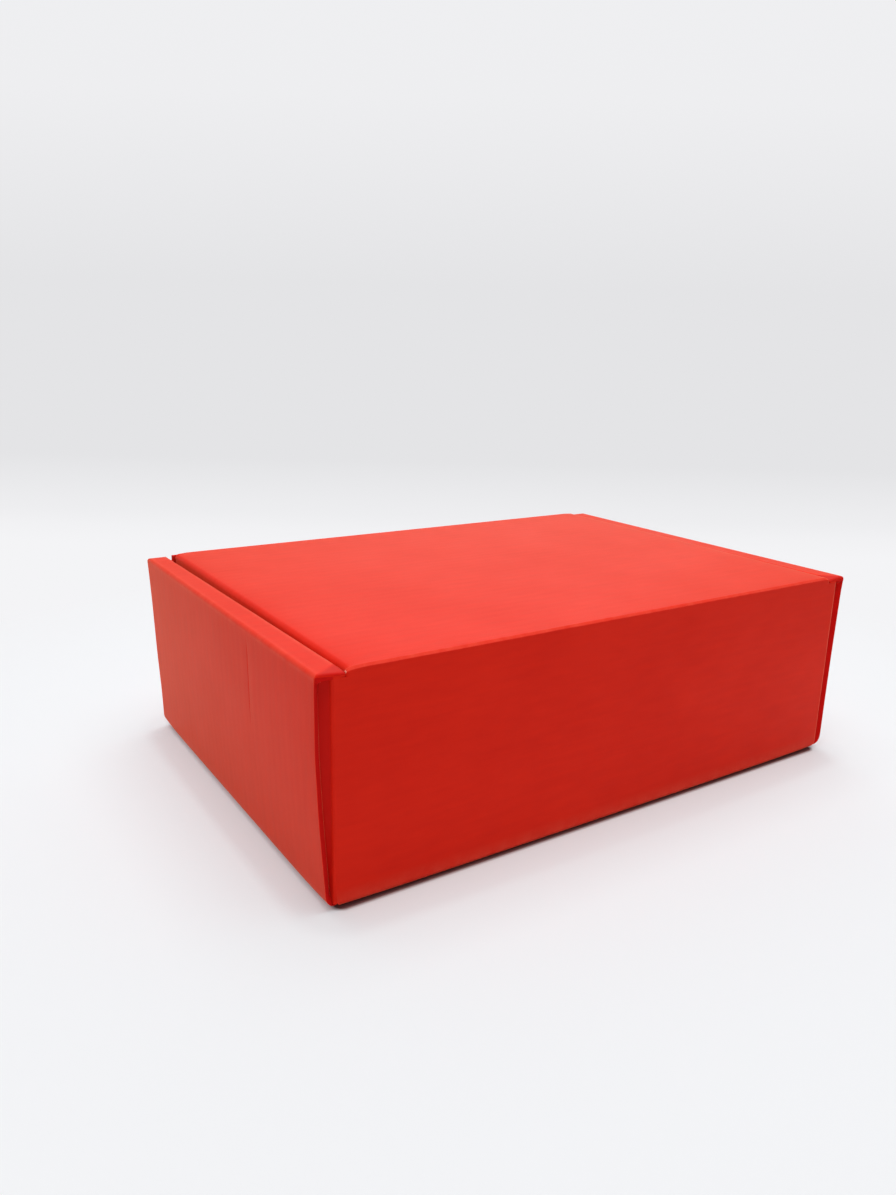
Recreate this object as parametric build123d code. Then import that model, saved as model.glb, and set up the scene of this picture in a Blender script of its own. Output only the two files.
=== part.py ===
from build123d import *
import math
import os

# Folding mailer box, folded from one die-cut sheet of corrugated board and shown closed.
# The base has a back wall (low Y) and a front wall (high Y) along its long sides. At each
# short end an outer panel rises from the base, turns over the top as a rim and comes down
# inside as an inner panel, whose tabs lock in slots in the base. The ends of the back and
# front walls turn in as corner flaps and are held between those two panels. The lid is
# creased to the back wall. Its side flaps hang inside the inner panels and its tuck flap
# hangs behind the front wall. The sheet is two solids, because only the lid's crease moves.
# Millimetres. The origin is the centre of the underside, X is the long way, Z is up.

# The board and its creases
board = 3.0
fold_outer = 2.0
fold_inner = 0.3

# The inside of the box
inner_length = 305.0
inner_width = 222.5
inner_height = 102.0

# The rolled-over end walls
flap_slack = 1.0
foot_gap = 0.3
side_flare = 3.6
side_bow = 1.05
rim_drop = 1.9
outer_panel_recess = 0.8
outer_panel_corner = 2.5
inner_panel_gap = 0.4
seat_gap = 0.2

# The pressed-down ends of the rims, beside the lid's crease
pressed_run = 10.0
pressed_drop = 1.4

# The tabs of the inner panels and their slots
tab_width = 44.0
tab_spacing = 116.0
tab_chamfer = 1.2
tab_lift = 0.2
slot_side_gap = 0.2
slot_end_gap = 0.8

# The corner flaps
corner_flap_length = 84.0
corner_flap_slope = 6.0
corner_flap_round = 12.0
corner_flap_gap = 0.3

# The lid
lid_side_gap = 0.8
lid_taper = 1.5
lid_front_gap = 0.5
lid_crease_gap = 0.6
hinge_gap = 0.2

# The lid's side flaps
side_flap_depth = 64.0
side_flap_start = 5.0
side_flap_end_gap = 7.0
side_flap_rake = 14.0
side_flap_round = 12.0

# The lid's tuck flap
tuck_depth = 32.0
tuck_lean = 2.4
tuck_end_gap = 4.0
tuck_round = 12.0

# Places that follow from the sizes
inner_face = inner_length / 2
inner_panel_back = inner_face + board
flap_face = inner_panel_back + flap_slack
wall_end = flap_face + board
foot_inside = wall_end + fold_inner + foot_gap
foot_outside = foot_inside + board
rim_outside = foot_outside + side_flare
box_back = -(inner_width / 2 + board)
box_front = -box_back
wall_inside = inner_width / 2
lid_top = board + inner_height + board
lid_under = lid_top - board
rim_top = lid_top - rim_drop
rim_under = rim_top - board
crease_half = inner_face - lid_crease_gap
lid_half_back = inner_face - lid_side_gap
lid_half_front = lid_half_back - lid_taper
lid_front = wall_inside - lid_front_gap
lid_length = lid_front - box_back
crease_depth = fold_outer * (1 - math.sqrt(0.5))
hinge_y = box_back + crease_depth
hinge_z = lid_top - crease_depth
spare = 5.0 * board


def corners(face, *places):
    """The face's vertices nearest to the given places, in the face's own two directions."""
    return [face.vertices().sort_by_distance((a, b, 0))[0] for a, b in places]


def span(low, high):
    """A box between two corners given as (x, y, z)."""
    size = [b - a for a, b in zip(low, high)]
    middle = [(a + b) / 2 for a, b in zip(low, high)]
    return Pos(*middle) * Box(*size)


def long_walls():
    """Back wall, base and front wall as one folded strip, carried along X."""
    outline = Polyline(
        (box_back, lid_top),
        (box_back, 0),
        (box_front, 0),
        (box_front, rim_top),
        (wall_inside, rim_top),
        (wall_inside, board),
        (-wall_inside, board),
        (-wall_inside, lid_top),
        close=True,
    )
    section = make_face(outline)
    outer_folds = corners(section, (box_back, lid_top), (box_back, 0), (box_front, 0))
    section = fillet(outer_folds, fold_outer)
    inner_folds = corners(section, (wall_inside, board), (-wall_inside, board))
    section = fillet(inner_folds, fold_inner)
    strip = extrude(Plane.YZ * section, amount=wall_end, both=True) - shoulders()
    plan = RectangleRounded(2 * wall_end, 2 * box_front, fold_outer)
    return strip & extrude(plan, amount=lid_top)


def shoulders():
    """What is cut from the tops of the long walls beyond the lid's crease, under the rims."""
    low = (crease_half, box_back - spare, rim_under)
    high = (wall_end + spare, box_front + spare, lid_top + spare)
    block = span(low, high)
    return block + mirror(block, about=Plane.YZ)


def crease_block(side):
    """A block on one side of the crease's mitre: the lid's side is 1, the wall's is -1."""
    mitre = Plane(origin=(0, hinge_y, hinge_z), x_dir=(1, 0, 0), z_dir=(0, side, side))
    reach = 2 * spare
    return mitre * Pos(0, 0, (reach - hinge_gap) / 2) * Box(2 * inner_length, reach, reach)


def end_wall_section():
    """Outer panel, rim and inner panel across one end, as a face in X and Z."""
    bow_height = rim_top / 2
    outer_middle = (foot_outside + rim_outside) / 2 + side_bow
    base_overlap = wall_end - board / 2
    edges = [
        Line((base_overlap, 0), (foot_outside, 0)),
        ThreePointArc((foot_outside, 0), (outer_middle, bow_height), (rim_outside, rim_top)),
        Line((rim_outside, rim_top), (inner_face, rim_top)),
        Line((inner_face, rim_top), (inner_face, board + seat_gap)),
        Line((inner_face, board + seat_gap), (inner_panel_back, board + seat_gap)),
        Line((inner_panel_back, board + seat_gap), (inner_panel_back, rim_under)),
        Line((inner_panel_back, rim_under), (rim_outside - board, rim_under)),
        ThreePointArc(
            (rim_outside - board, rim_under),
            (outer_middle - board, bow_height),
            (foot_inside, board),
        ),
        Line((foot_inside, board), (base_overlap, board)),
        Line((base_overlap, board), (base_overlap, 0)),
    ]
    section = make_face(edges)
    outer_folds = corners(section, (foot_outside, 0), (rim_outside, rim_top), (inner_face, rim_top))
    section = fillet(outer_folds, fold_outer)
    inner_folds = corners(
        section, (inner_panel_back, rim_under), (rim_outside - board, rim_under), (foot_inside, board)
    )
    return fillet(inner_folds, fold_inner)


def end_wall_outline():
    """The end wall seen along X: the outer panel stands back a little under the rim."""
    panel_end = box_front - outer_panel_recess
    outline = make_face(
        Polyline(
            (box_back, lid_top),
            (box_back, rim_under),
            (-panel_end, rim_under),
            (-panel_end, 0),
            (panel_end, 0),
            (panel_end, rim_under),
            (box_front, rim_under),
            (box_front, lid_top),
            close=True,
        )
    )
    return fillet(corners(outline, (-panel_end, 0), (panel_end, 0)), outer_panel_corner)


def pressed_end():
    """The half space above the rim's end, where its inner corner is pressed down."""
    outer = Vector(rim_outside, box_back, rim_top)
    inner = Vector(inner_face, box_back + pressed_run, rim_top)
    low = Vector(inner_face, box_back, rim_top - pressed_drop)
    normal = (low - outer).cross(inner - outer)
    if normal.Z < 0:
        normal = normal * -1
    return Plane(origin=outer, z_dir=normal) * Pos(0, 0, inner_width) * Box(
        2 * inner_length, 2 * inner_length, 2 * inner_width
    )


def tab():
    """One locking tab below an inner panel, with its lower corners cut off."""
    half = tab_width / 2
    top = board + seat_gap + fold_inner
    outline = Polyline(
        (-half, top),
        (-half, tab_lift + tab_chamfer),
        (-half + tab_chamfer, tab_lift),
        (half - tab_chamfer, tab_lift),
        (half, tab_lift + tab_chamfer),
        (half, top),
        close=True,
    )
    return Pos(inner_face, 0, 0) * extrude(Plane.YZ * make_face(outline), amount=board)


def slot():
    """What is cut from the base for one locking tab."""
    half = tab_width / 2 + slot_end_gap
    low = (inner_face - slot_side_gap, -half, -board)
    high = (inner_panel_back + slot_side_gap, half, 2 * board)
    return span(low, high)


def end_wall():
    """One rolled-over end wall with its tabs, at high X."""
    wall = extrude(Plane.XZ * end_wall_section(), amount=box_front, both=True)
    outline = extrude(Plane.YZ * end_wall_outline(), amount=rim_outside + spare)
    wall = wall & outline
    panel_end = wall_inside - inner_panel_gap
    for side in (-1, 1):
        middle = side * (panel_end + spare)
        low = (inner_face - board, middle - spare, 0)
        high = (inner_panel_back + flap_slack / 2, middle + spare, rim_under)
        wall = wall - span(low, high)
    wall = wall - pressed_end()
    for place in (-tab_spacing / 2, tab_spacing / 2):
        wall = wall + Pos(0, place, 0) * tab()
    return wall


def corner_flap():
    """The flap that the back wall turns in at high X, held in the end wall."""
    root = box_back + board / 2
    tip = box_back + corner_flap_length
    low = board + corner_flap_gap
    high = rim_under - corner_flap_gap
    outline = make_face(
        Polyline(
            (root, low),
            (tip, low),
            (tip, high - corner_flap_slope),
            (box_back + 2 * board, high),
            (root, high),
            close=True,
        )
    )
    free = corners(outline, (tip, low), (tip, high - corner_flap_slope))
    outline = fillet(free, corner_flap_round)
    return Pos(flap_face, 0, 0) * extrude(Plane.YZ * outline, amount=board)


def tray():
    """Base, walls and corner flaps: the part of the sheet that stands still."""
    body = long_walls() - crease_block(1)
    for place in (-tab_spacing / 2, tab_spacing / 2):
        cut = Pos(0, place, 0) * slot()
        body = body - cut - mirror(cut, about=Plane.YZ)
    flap = corner_flap()
    end = end_wall() + flap + mirror(flap, about=Plane.XZ)
    return body + end + mirror(end, about=Plane.YZ)


def side_flap():
    """The lid's side flap at high X: hangs from the slanting side edge of the lid."""
    edge = Plane(
        origin=(lid_half_back, box_back, lid_top),
        x_dir=(-lid_taper, lid_length, 0),
        z_dir=(lid_length, lid_taper, 0),
    )
    start = side_flap_start
    end = lid_length - side_flap_end_gap
    outline = make_face(
        Polyline(
            (start, 0),
            (start, -side_flap_depth),
            (end - side_flap_rake, -side_flap_depth),
            (end, -board),
            (end, 0),
            close=True,
        )
    )
    free = corners(outline, (start, -side_flap_depth), (end - side_flap_rake, -side_flap_depth))
    return extrude(edge * fillet(free, side_flap_round), amount=-board)


def tuck_flap():
    """The lid's tuck flap: leans in a little so that it swings clear of the front wall."""
    section = make_face(
        Polyline(
            (lid_front, lid_top),
            (lid_front - tuck_lean, lid_top - tuck_depth),
            (lid_front - tuck_lean - board, lid_top - tuck_depth),
            (lid_front - board, lid_under),
            (lid_front - board, lid_top),
            close=True,
        )
    )
    half = lid_half_front - tuck_end_gap
    outline = make_face(
        Polyline(
            (-half, lid_top),
            (-half, lid_top - tuck_depth),
            (half, lid_top - tuck_depth),
            (half, lid_top),
            close=True,
        )
    )
    free = corners(outline, (-half, lid_top - tuck_depth), (half, lid_top - tuck_depth))
    outline = fillet(free, tuck_round)
    strip = extrude(Plane.YZ * section, amount=half, both=True)
    return strip & extrude(Plane.XZ * outline, amount=box_front, both=True)


def lid():
    """Lid panel with its side flaps and tuck flap: the part of the sheet that swings."""
    plan = make_face(
        Polyline(
            (-lid_half_back, box_back),
            (lid_half_back, box_back),
            (lid_half_front, lid_front),
            (-lid_half_front, lid_front),
            close=True,
        )
    )
    panel = Pos(0, 0, lid_under) * extrude(plan, amount=board)
    flap = side_flap()
    body = panel + flap + mirror(flap, about=Plane.YZ) + tuck_flap()
    top_edges = body.edges().filter_by(lambda e: min(v.Z for v in e.vertices()) > lid_top - 0.01)
    body = fillet(top_edges, fold_outer)
    return body - crease_block(-1)


os.makedirs("parts", exist_ok=True)
export_step(tray(), "parts/tray.step")
export_step(lid(), "parts/lid.step")
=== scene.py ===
"""Dresses a folding box of red corrugated board, with its floor, light and camera.

The box is one die-cut sheet: back wall, base and front wall fold up along the long way, each
short end rolls over into a rim, and the lid hangs from a crease on the back wall. The visible
board is worked out here as pairs of grids, one for each liner, which are closed along the cut
edges by a core that is set back a little. Lengths are in millimetres until a mesh is made, in
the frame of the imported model: X is the long way, Z is up, and the back wall with the lid's
crease is at low Y.
"""

import logging
import math
from dataclasses import dataclass, field
from enum import Enum
from typing import Callable, Sequence

import bmesh
import bpy
import numpy as np
from mathutils import Matrix, Vector


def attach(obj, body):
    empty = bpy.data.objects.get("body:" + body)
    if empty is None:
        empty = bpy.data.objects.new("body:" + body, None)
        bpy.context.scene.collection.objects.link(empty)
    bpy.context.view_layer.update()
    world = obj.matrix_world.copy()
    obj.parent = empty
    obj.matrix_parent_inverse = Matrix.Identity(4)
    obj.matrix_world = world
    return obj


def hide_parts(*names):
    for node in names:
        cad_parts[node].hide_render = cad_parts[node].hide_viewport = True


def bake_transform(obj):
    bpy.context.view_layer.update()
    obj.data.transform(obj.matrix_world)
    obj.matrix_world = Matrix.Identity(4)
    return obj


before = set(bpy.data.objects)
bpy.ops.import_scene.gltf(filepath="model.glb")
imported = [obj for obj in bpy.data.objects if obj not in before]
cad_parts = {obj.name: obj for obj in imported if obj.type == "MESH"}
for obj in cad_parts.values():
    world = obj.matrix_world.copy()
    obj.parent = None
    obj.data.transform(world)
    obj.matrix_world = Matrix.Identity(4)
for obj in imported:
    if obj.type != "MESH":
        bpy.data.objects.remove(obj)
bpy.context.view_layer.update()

log = logging.getLogger("folding box")

Point = tuple[float, ...]
Settle = Callable[[np.ndarray], np.ndarray]

MM = 0.001
# How far two places may lie apart and still count as one.
SLACK = 0.01
# Moves the keys of edges off the halves at which rounding goes either way.
KEY_SHIFT = 0.00137
WELD_REACH = 2e-6
SHARP_TURN = math.radians(38)


class Liner(Enum):
    """Which paper a face of the mesh shows."""

    OUTSIDE = 0
    INSIDE = 1
    CUT = 2
    TORN = 3


@dataclass(frozen=True)
class Board:
    """The corrugated board, how it folds and how its cut edges look."""

    thickness: float = 3.0
    outer_fold: float = 2.0
    inner_fold: float = 0.3
    fold_steps: int = 8
    fold_reach: float = 1.0
    least_turn: float = 0.05
    cut_shares: Point = (0.12, 0.18, 0.5, 0.82, 0.88)
    cut_depths: Point = (0.0, 0.22, 0.3, 0.22, 0.0)
    edge_width: float = 0.55
    edge_drop: float = 0.3
    flute_pitch: float = 6.3
    flute_points: int = 12
    flute_fewest: int = 8
    flute_swing: float = 0.34
    flute_paper: float = 0.045
    flute_depth: float = 0.4
    flute_recess: float = 0.12


@dataclass(frozen=True)
class BoxSizes:
    """The sizes of the folded box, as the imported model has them."""

    wall_end: float = 159.5
    box_back: float = -114.25
    lid_top: float = 108.0
    rim_top: float = 106.1
    rim_outside: float = 166.7
    foot_outside: float = 163.1
    inner_face: float = 152.5
    seat: float = 3.2

    @property
    def rim_under(self) -> float:
        """Height of the rim's underside."""
        return self.rim_top - BOARD.thickness


BOARD = Board()
BOX = BoxSizes()


def even(count: int) -> np.ndarray:
    """Shares of a run in equal steps: k / count for k from 1 to count."""
    return np.linspace(0, 1, count + 1)[1:]


def closing(count: int) -> np.ndarray:
    """Shares of a run that crowd towards its end: the sine of a quarter turn in equal steps."""
    return np.sin(np.linspace(0, math.pi / 2, count + 1)[1:])


def eased(low: float, high: float, steps: int, last_steps: int) -> np.ndarray:
    """Shares of a run: equal steps from low to high, then steps that crowd towards its end."""
    last = high + closing(last_steps) * (1 - high)
    return np.concatenate([low + even(steps) * (high - low), last])


def unit(vectors: np.ndarray) -> np.ndarray:
    """Vectors of length 1 in the given directions: each is divided by its own length."""
    length = np.linalg.norm(vectors, axis=-1, keepdims=True)
    return vectors / np.maximum(length, 1e-9)


def rounded(
    corners: Sequence[Point], radii: Sequence[float], runs: Sequence[np.ndarray]
) -> np.ndarray:
    """A polyline whose corners are arcs.

    Each straight run is divided by its shares, and each arc of radius r that turns by a goes
    through centre + (sin((1 - t) a) u + sin(t a) v) / sin(a), where u and v point from its
    centre to its ends and t goes from 0 to 1 in equal steps.

    Args:
        corners: The polyline's corners.
        radii: One radius for each corner; 0 keeps a corner sharp.
        runs: For each straight run, the shares of its length at which it has points.

    Returns:
        The points, one row each.
    """
    place = np.asarray(corners, float)
    pieces = [place[:1]]
    leave = place[0]
    for k in range(1, len(place)):
        enter, bend, after = place[k], np.empty((0, 2)), place[k]
        if k < len(place) - 1 and radii[k] > 0:
            back, ahead = unit(place[k - 1] - place[k]), unit(place[k + 1] - place[k])
            half = math.acos(float(np.clip(back @ ahead, -1, 1))) / 2
            enter = place[k] + back * radii[k] / math.tan(half)
            after = place[k] + ahead * radii[k] / math.tan(half)
            centre = place[k] + unit(back + ahead) * radii[k] / math.sin(half)
            turn = math.pi - 2 * half
            share = even(BOARD.fold_steps)[:, None]
            first, last = enter - centre, after - centre
            bend = np.sin((1 - share) * turn) * first + np.sin(share * turn) * last
            bend = centre + bend / math.sin(turn)
        pieces += [leave + runs[k - 1][:, None] * (enter - leave), bend]
        leave = after
    return np.concatenate(pieces)


def travelled(path: np.ndarray) -> np.ndarray:
    """Distance along a path to each of its points: the running sum of the steps' lengths."""
    steps = np.linalg.norm(np.diff(path, axis=0), axis=1)
    return np.concatenate([[0.0], np.cumsum(steps)])


def round_off(left: np.ndarray, radius: float) -> np.ndarray:
    """How far a rounded corner has drawn in where `left` is left to the edge.

    It is r - sqrt(r^2 - (r - left)^2) within the radius r of the edge, and 0 before that.

    Args:
        left: The distances to the edge.
        radius: The corner's radius.

    Returns:
        One distance for each of those.
    """
    within = np.clip(radius - left, 0, radius)
    return radius - np.sqrt(radius**2 - within**2)


def stretched(
    nominal: np.ndarray, end: np.ndarray, fixed: float, nominal_end: float
) -> np.ndarray:
    """Stations along each row, which stay put up to `fixed` and are stretched beyond it.

    A station s beyond f goes to f + (s - f)(e - f) / (n - f), for a row that ends at e where
    the nominal row ends at n, and the same on the other side of the middle.

    Args:
        nominal: The stations of the nominal row.
        end: Where each row ends.
        fixed: The distance from the middle up to which stations don't move.
        nominal_end: Where the nominal row ends.

    Returns:
        Rows by stations.
    """
    beyond = np.maximum(np.abs(nominal) - fixed, 0)
    scale = (np.asarray(end)[:, None] - fixed) / (nominal_end - fixed)
    return np.sign(nominal) * (np.minimum(np.abs(nominal), fixed) + beyond * scale)


def by_row(values: np.ndarray, columns: int) -> np.ndarray:
    """A grid with one value for each row, the same in all its columns."""
    return np.repeat(values[:, None], columns, 1)


def by_column(values: np.ndarray, rows: int) -> np.ndarray:
    """A grid with one value for each column, the same in all its rows."""
    return np.repeat(values[None, :], rows, 0)


def all_cells(rows: int, columns: int) -> np.ndarray:
    """A mask that keeps each cell of a grid with the given numbers of points."""
    return np.ones((rows - 1, columns - 1), bool)


def cell_corners(grid: np.ndarray) -> np.ndarray:
    """The numbers of each cell's four corners in turn, from a grid of point numbers."""
    return np.stack([grid[:-1, :-1], grid[1:, :-1], grid[1:, 1:], grid[:-1, 1:]], -1)


def grids(
    sections: tuple[np.ndarray, np.ndarray], axes: str, stations: tuple[np.ndarray, np.ndarray]
) -> tuple[np.ndarray, np.ndarray]:
    """Carries a section along stations.

    Args:
        sections: The outer and the inner liner's section, rows by 2.
        axes: The section's two axes, such as "yz"; the stations run along the third.
        stations: For each liner, rows by columns.

    Returns:
        Both liners' grids, rows by columns by 3.
    """
    first, second = ("xyz".index(letter) for letter in axes)
    made = []
    for section, station in zip(sections, stations):
        points = np.empty((*station.shape, 3))
        points[..., first] = section[:, :1]
        points[..., second] = section[:, 1:]
        points[..., 3 - first - second] = station
        made.append(points)
    return made[0], made[1]


def lowered(outer: np.ndarray, inner: np.ndarray, drop: np.ndarray) -> np.ndarray:
    """The outer liner, pressed towards the inner one by a drop for each point."""
    return outer + unit(inner - outer) * drop[..., None]


def fold_mask(outer: np.ndarray) -> np.ndarray:
    """How near each point of a section is to a fold, from 0 to 1.

    It is exp(-(d / reach)^2), where d is the distance along the section to the nearest point
    at which it turns.

    Args:
        outer: The outer liner's section.

    Returns:
        One value for each row.
    """
    steps = unit(np.diff(outer, axis=0))
    turn = np.zeros(len(outer))
    turn[1:-1] = np.linalg.norm(steps[1:] - steps[:-1], axis=1)
    length = travelled(outer)
    near = np.exp(-(((length[:, None] - length[None, :]) / BOARD.fold_reach) ** 2))
    return (near * (turn > BOARD.least_turn)[None, :]).max(axis=1)


def placed(name: str, data: bpy.types.ID) -> bpy.types.Object:
    """A new object of the given data, at the origin of the scene."""
    made = bpy.data.objects.new(name, data)
    bpy.context.scene.collection.objects.link(made)
    return made


@dataclass
class Skins:
    """Both liners of a folded panel, as grids of points of the same layout.

    Attributes:
        outer: The outside liner, rows by columns by 3.
        inner: The inside liner, in the same layout.
        keep: Which cells of the grid are board, rows - 1 by columns - 1.
        across: Each point's distance across the flutes on the flat sheet.
        along: Each point's distance along the flutes.
        fold: Rubbing on a crease or a painted highlight; below 0, the depth of a painted shade.
    """

    outer: np.ndarray
    inner: np.ndarray
    keep: np.ndarray
    across: np.ndarray
    along: np.ndarray
    fold: np.ndarray

    def mirrored(self, axis: int) -> "Skins":
        """The same panel on the other side of the middle, along X for 0 or Y for 1."""
        side = np.ones(3)
        side[axis] = -1
        liners = self.outer * side, self.inner * side
        return Skins(*liners, self.keep, self.across, self.along, self.fold)

    def turned(self) -> "Skins":
        """The same panel with its rows as columns."""
        swapped = (np.swapaxes(grid, 0, 1) for grid in (self.outer, self.inner, self.keep))
        return Skins(*swapped, self.across.T, self.along.T, self.fold.T)

    def softened(self, first: bool, last: bool) -> "Skins":
        """The panel with its first or last column pressed a little, as a die's cut leaves it.

        A column is put in near the end, at the edge's width, and both liners' end points go
        towards each other by the edge's drop.

        Args:
            first: Whether the first column is a cut edge.
            last: Whether the last one is.

        Returns:
            The panel with softer edges.
        """
        made = self
        for wanted, end, step in ((first, 0, 1), (last, -1, -1)):
            if not wanted:
                continue
            gap = np.linalg.norm(made.outer[:, end] - made.outer[:, end + step], axis=-1)
            share = np.clip(BOARD.edge_width / np.maximum(gap, 1e-6), 0, 0.5)[:, None]
            where = 1 if end == 0 else made.across.shape[1] - 1
            stack = np.dstack([made.outer, made.inner, made.across, made.along, made.fold])
            extra = stack[:, end] * (1 - share) + stack[:, end + step] * share
            stack = np.insert(stack, where, extra, axis=1)
            through = unit(stack[:, end, 3:6] - stack[:, end, :3]) * BOARD.edge_drop
            stack[:, end, :3] += through
            stack[:, end, 3:6] -= through
            cell = where if end == 0 else where - 1
            keep = np.insert(made.keep, cell, made.keep[:, end], axis=1)
            across, along, fold = np.moveaxis(stack[..., 6:], -1, 0)
            made = Skins(stack[..., :3], stack[..., 3:6], keep, across, along, fold)
        return made

    def order(self) -> slice:
        """The order of a cell's corners in which the outer liner faces outwards."""
        down = self.outer[1:, :-1] - self.outer[:-1, :-1]
        right = self.outer[:-1, 1:] - self.outer[:-1, :-1]
        out = (self.outer - self.inner)[:-1, :-1]
        facing = (np.cross(down, right) * out).sum(-1)[self.keep].sum() > 0
        return slice(None, None, 1 if facing else -1)

    def inward(self) -> np.ndarray:
        """For each point, the direction into the board: the sum of those to its kept cells."""
        middle = (self.outer + self.inner) / 2
        centres = (middle[:-1, :-1] + middle[1:, :-1] + middle[1:, 1:] + middle[:-1, 1:]) / 4
        pull = np.zeros_like(middle)
        for rows in (slice(None, -1), slice(1, None)):
            for columns in (slice(None, -1), slice(1, None)):
                ways = unit(centres - middle[rows, columns])
                pull[rows, columns] += self.keep[..., None] * ways
        return unit(pull)

    def cut_edges(self) -> tuple[tuple[np.ndarray, ...], tuple[np.ndarray, ...]]:
        """The stretches of edge that have board on one side only, which is always the same.

        Returns:
            The grid places at which the stretches start, and those at which they end.
        """
        board = np.pad(self.keep, 1)
        flat = board[:-1, 1:-1] != board[1:, 1:-1]
        tall = board[1:-1, :-1] != board[1:-1, 1:]
        starts, ends = [], []
        for edges, step, way in ((flat, (0, 1), True), (tall, (1, 0), False)):
            low = np.stack(np.nonzero(edges), 1)
            swap = (board[low[:, 0] + 1, low[:, 1] + 1] == way)[:, None]
            starts.append(np.where(swap, low + step, low))
            ends.append(np.where(swap, low, low + step))
        return tuple(np.concatenate(starts).T), tuple(np.concatenate(ends).T)


@dataclass
class BoardMesh:
    """Gathers skins and flute edges, and makes one mesh object of them."""

    name: str
    points: list[np.ndarray] = field(default_factory=list)
    quads: list[np.ndarray] = field(default_factory=list)
    liners: list[np.ndarray] = field(default_factory=list)
    sheet: list[np.ndarray] = field(default_factory=list)
    walls: list[np.ndarray] = field(default_factory=list)
    wall_ends: list[np.ndarray] = field(default_factory=list)
    count: int = 0

    def _add_points(self, points: np.ndarray, sheet: np.ndarray) -> np.ndarray:
        """Adds points with their sheet coordinates.

        Args:
            points: Any shape by 3.
            sheet: Across, along and fold for each point, in the same shape.

        Returns:
            The points' numbers, in the leading shape.
        """
        numbers = np.arange(points[..., 0].size).reshape(points.shape[:-1]) + self.count
        self.points.append(points.reshape(-1, 3))
        self.sheet.append(sheet.reshape(-1, 3))
        self.count += numbers.size
        return numbers

    def _add_quads(self, quads: np.ndarray, liner: Liner) -> None:
        """Adds faces, as rows of four point numbers, that show one kind of paper."""
        self.quads.append(quads.reshape(-1, 4))
        self.liners.append(np.full(len(self.quads[-1]), liner.value))

    def add_skins(self, skins: Skins, recess: float = 1.0) -> None:
        """Adds a panel: both liners now, and the cut edges between them when it is built.

        A cut edge runs from liner to liner in a few steps. Each step lies a share of the
        board's thickness from the outer liner and a depth behind the cut, so that the liners
        stand proud of the core.

        Args:
            skins: The panel.
            recess: A factor on the depths behind the cut.
        """
        sheet = np.stack([skins.across, skins.along, skins.fold], axis=-1)
        outer = self._add_points(skins.outer, sheet)
        inner = self._add_points(skins.inner, sheet)
        order = skins.order()
        self._add_quads(cell_corners(outer)[skins.keep][:, order], Liner.OUTSIDE)
        self._add_quads(cell_corners(inner)[skins.keep][:, order][:, ::-1], Liner.INSIDE)

        starts, ends = skins.cut_edges()
        pull = skins.inward()
        used = np.zeros(outer.shape, bool)
        used[starts] = used[ends] = True
        steps = [outer]
        for share, depth in zip(BOARD.cut_shares, BOARD.cut_depths):
            line = skins.outer[used] * (1 - share) + skins.inner[used] * share
            numbers = np.full(outer.shape, -1)
            numbers[used] = self._add_points(line + pull[used] * depth * recess, sheet[used])
            steps.append(numbers)
        steps.append(inner)
        wall = [
            np.stack([near[ends], near[starts], far[starts], far[ends]], 1)
            for near, far in zip(steps[:-1], steps[1:])
        ]
        self.walls.append(np.stack(wall, 1)[..., order])
        self.wall_ends.append(np.stack([skins.outer[starts], skins.outer[ends]], 1))

    def _add_walls(self) -> None:
        """Adds the cut edges, apart from those along which two panels of the sheet meet.

        A stretch of edge is known by its ends' sum and their distances along the axes, which
        are the same for both panels.
        """
        ends = np.concatenate(self.wall_ends)
        known = np.concatenate([ends.sum(1), np.abs(ends[:, 0] - ends[:, 1])], 1)
        known = np.round(known + KEY_SHIFT, 2)
        _, which, counts = np.unique(known, axis=0, return_inverse=True, return_counts=True)
        alone = counts[which.ravel()] == 1
        self._add_quads(np.concatenate(self.walls)[alone], Liner.CUT)

    def add_flutes(self, outer: np.ndarray, inner: np.ndarray, inward: Point) -> None:
        """Adds the core's wavy cut edge, where a cut runs across the flutes.

        The line between the liners is 0.5 + swing * sin(2 pi s / pitch) of the thickness from
        the outer liner, at the distance s along the cut. It is a ridge with a flat top.

        Args:
            outer: The cut edge of the outer liner, one point per row.
            inner: The cut edge of the inner liner.
            inward: The direction into the board.
        """
        length = travelled(outer)
        count = int(length[-1] / BOARD.flute_pitch * BOARD.flute_points)
        paper = BOARD.flute_paper
        s = np.linspace(paper, length[-1] - paper, max(count, BOARD.flute_fewest))
        top, low = (
            np.stack([np.interp(s, length, edge[:, k]) for k in range(3)], 1)
            for edge in (outer, inner)
        )
        wave = 0.5 + BOARD.flute_swing * np.sin(2 * math.pi * s / BOARD.flute_pitch)
        into = unit(np.asarray(inward, float))
        foot, ridge = BOARD.flute_depth, BOARD.flute_recess
        lines = []
        for side, depth in ((-1, foot), (-1, ridge), (1, ridge), (1, foot)):
            share = (wave + side * paper)[:, None]
            lines.append(top * (1 - share) + low * share + into * depth)
        points = np.stack(lines, 1)
        sheet = np.zeros_like(points)
        sheet[..., 0] = s[:, None]
        quads = cell_corners(self._add_points(points, sheet))
        facing = np.cross(points[1, 1] - points[0, 1], points[0, 2] - points[0, 1])
        self._add_quads(quads[..., ::-1] if facing @ into > 0 else quads, Liner.CUT)

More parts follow.
